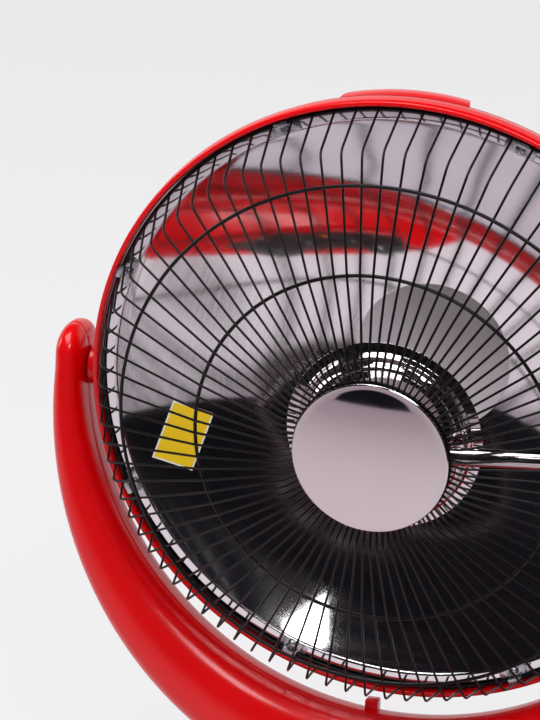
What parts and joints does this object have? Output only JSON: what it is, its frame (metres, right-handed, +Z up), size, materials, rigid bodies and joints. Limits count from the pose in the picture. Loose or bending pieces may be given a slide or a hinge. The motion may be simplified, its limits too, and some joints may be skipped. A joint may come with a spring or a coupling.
{
  "type": "parabolic heater",
  "caption": "Dish heater on a stand: a mirror reflector behind a black wire guard tilts in a red U-shaped yoke, which swings on a round weighted base with knobs.",
  "frame": {"origin": "centre of the round base, on the floor", "axes": "+X to the heater's left side as it faces the viewer's right, +Y to its back, +Z up; the dish faces -Y"},
  "size_m": [0.4594, 0.3, 0.547],
  "materials": {
    "red_plastic": "injection moulded, high gloss",
    "black_plastic": "injection moulded, satin",
    "grey_plastic": "injection moulded, satin",
    "white_nylon": "moulded nylon",
    "polished_aluminium": "spun sheet, polished to a mirror with faint turning marks",
    "chrome_plate": "polished and plated steel",
    "black_wire": "welded steel wire, black coating",
    "plated_steel": "bright zinc plate",
    "cast_iron": "as cast",
    "black_rubber": "moulded, dull",
    "ceramic": null,
    "heating_wire": "oxidised resistance wire",
    "amber_lens": "clear tinted lens",
    "sticker_film": "plain printed film with nothing on it"
  },
  "bodies": {
    "base": {"base_shell": "red_plastic", "base_plate": "black_plastic", "tip_switch": "black_plastic", "heat_switch": "black_plastic", "control_panel": "black_plastic", "swing_motor": "grey_plastic", "timer_unit": "grey_plastic", "swing_switch": "grey_plastic", "swivel_bearing": "white_nylon", "ballast_ring": "cast_iron", "foot_front_right": "black_rubber", "foot_rear_right": "black_rubber", "foot_rear_left": "black_rubber", "foot_front_left": "black_rubber", "cord_gland": "black_rubber", "lamp_lens": "amber_lens"},
    "yoke": {"yoke_front_shell": "red_plastic", "yoke_rear_shell": "red_plastic", "yoke_tab": "red_plastic", "pivot_pin_left": "plated_steel", "pivot_pin_right": "plated_steel", "neck_shaft": "plated_steel", "retaining_collar": "plated_steel", "sector_gear": "white_nylon", "pedestal": "red_plastic"},
    "head": {"bezel_ring": "red_plastic", "rear_housing": "red_plastic", "reflector": "polished_aluminium", "front_guard": "black_wire", "centre_cap": "chrome_plate", "cap_screw": "plated_steel", "hub_reflector": "chrome_plate", "ceramic_core": "ceramic", "heating_coil": "heating_wire", "support_tube": "chrome_plate", "tube_collar": "chrome_plate", "blank_sticker": "sticker_film", "thermal_cutout": "black_plastic", "terminal_block": "white_nylon", "guard_clip_1": "plated_steel", "guard_clip_2": "plated_steel", "guard_clip_3": "plated_steel", "guard_clip_4": "plated_steel", "guard_clip_5": "plated_steel", "guard_clip_6": "plated_steel", "guard_clip_7": "plated_steel", "guard_clip_8": "plated_steel", "clip_screw_1": "plated_steel", "clip_screw_2": "plated_steel", "clip_screw_3": "plated_steel", "clip_screw_4": "plated_steel", "clip_screw_5": "plated_steel", "clip_screw_6": "plated_steel", "clip_screw_7": "plated_steel", "clip_screw_8": "plated_steel"},
    "heat_knob": {"heat_knob": "black_plastic"},
    "timer_knob": {"timer_knob": "black_plastic"},
    "swing_button": {"swing_button": "black_plastic"},
    "tip_plunger": {"tip_plunger": "white_nylon"},
    "drive_pinion": {"drive_pinion": "white_nylon"}
  },
  "joints": [
    {"name": "yoke_swing", "type": "hinge", "parent": "base", "child": "yoke", "pos_m": [0, 0, 0.06], "axis": [0, 0, 1], "range_deg": [-35, 35]},
    {"name": "head_tilt", "type": "hinge", "parent": "yoke", "child": "head", "pos_m": [0, 0.046, 0.345], "axis": [-1, 0, 0], "range_deg": [-10, 35]},
    {"name": "pinion_spin", "type": "hinge", "parent": "base", "child": "drive_pinion", "pos_m": [0, 0.046, 0.03], "axis": [0, 0, 1], "range_deg": [-232, 232]},
    {"name": "heat_turn", "type": "hinge", "parent": "base", "child": "heat_knob", "pos_m": [-0.042, -0.10503, 0.05657], "axis": [0, 0.4067, -0.9135], "range_deg": [0, 90]},
    {"name": "timer_turn", "type": "hinge", "parent": "base", "child": "timer_knob", "pos_m": [0.042, -0.10503, 0.05657], "axis": [0, 0.4067, -0.9135], "range_deg": [0, 300]},
    {"name": "swing_press", "type": "slide", "parent": "base", "child": "swing_button", "axis": [0, 0.4067, -0.9135], "range_m": [0, 0.003], "stiffness_N_per_m": 300},
    {"name": "tip_plunge", "type": "slide", "parent": "base", "child": "tip_plunger", "axis": [0, 0, -1], "range_m": [0, 0.004], "stiffness_N_per_m": 20, "springref_m": 0.004}
  ],
  "couplings": [
    {"joint": "pinion_spin", "follows": "yoke_swing", "ratio": -6.625}
  ]
}
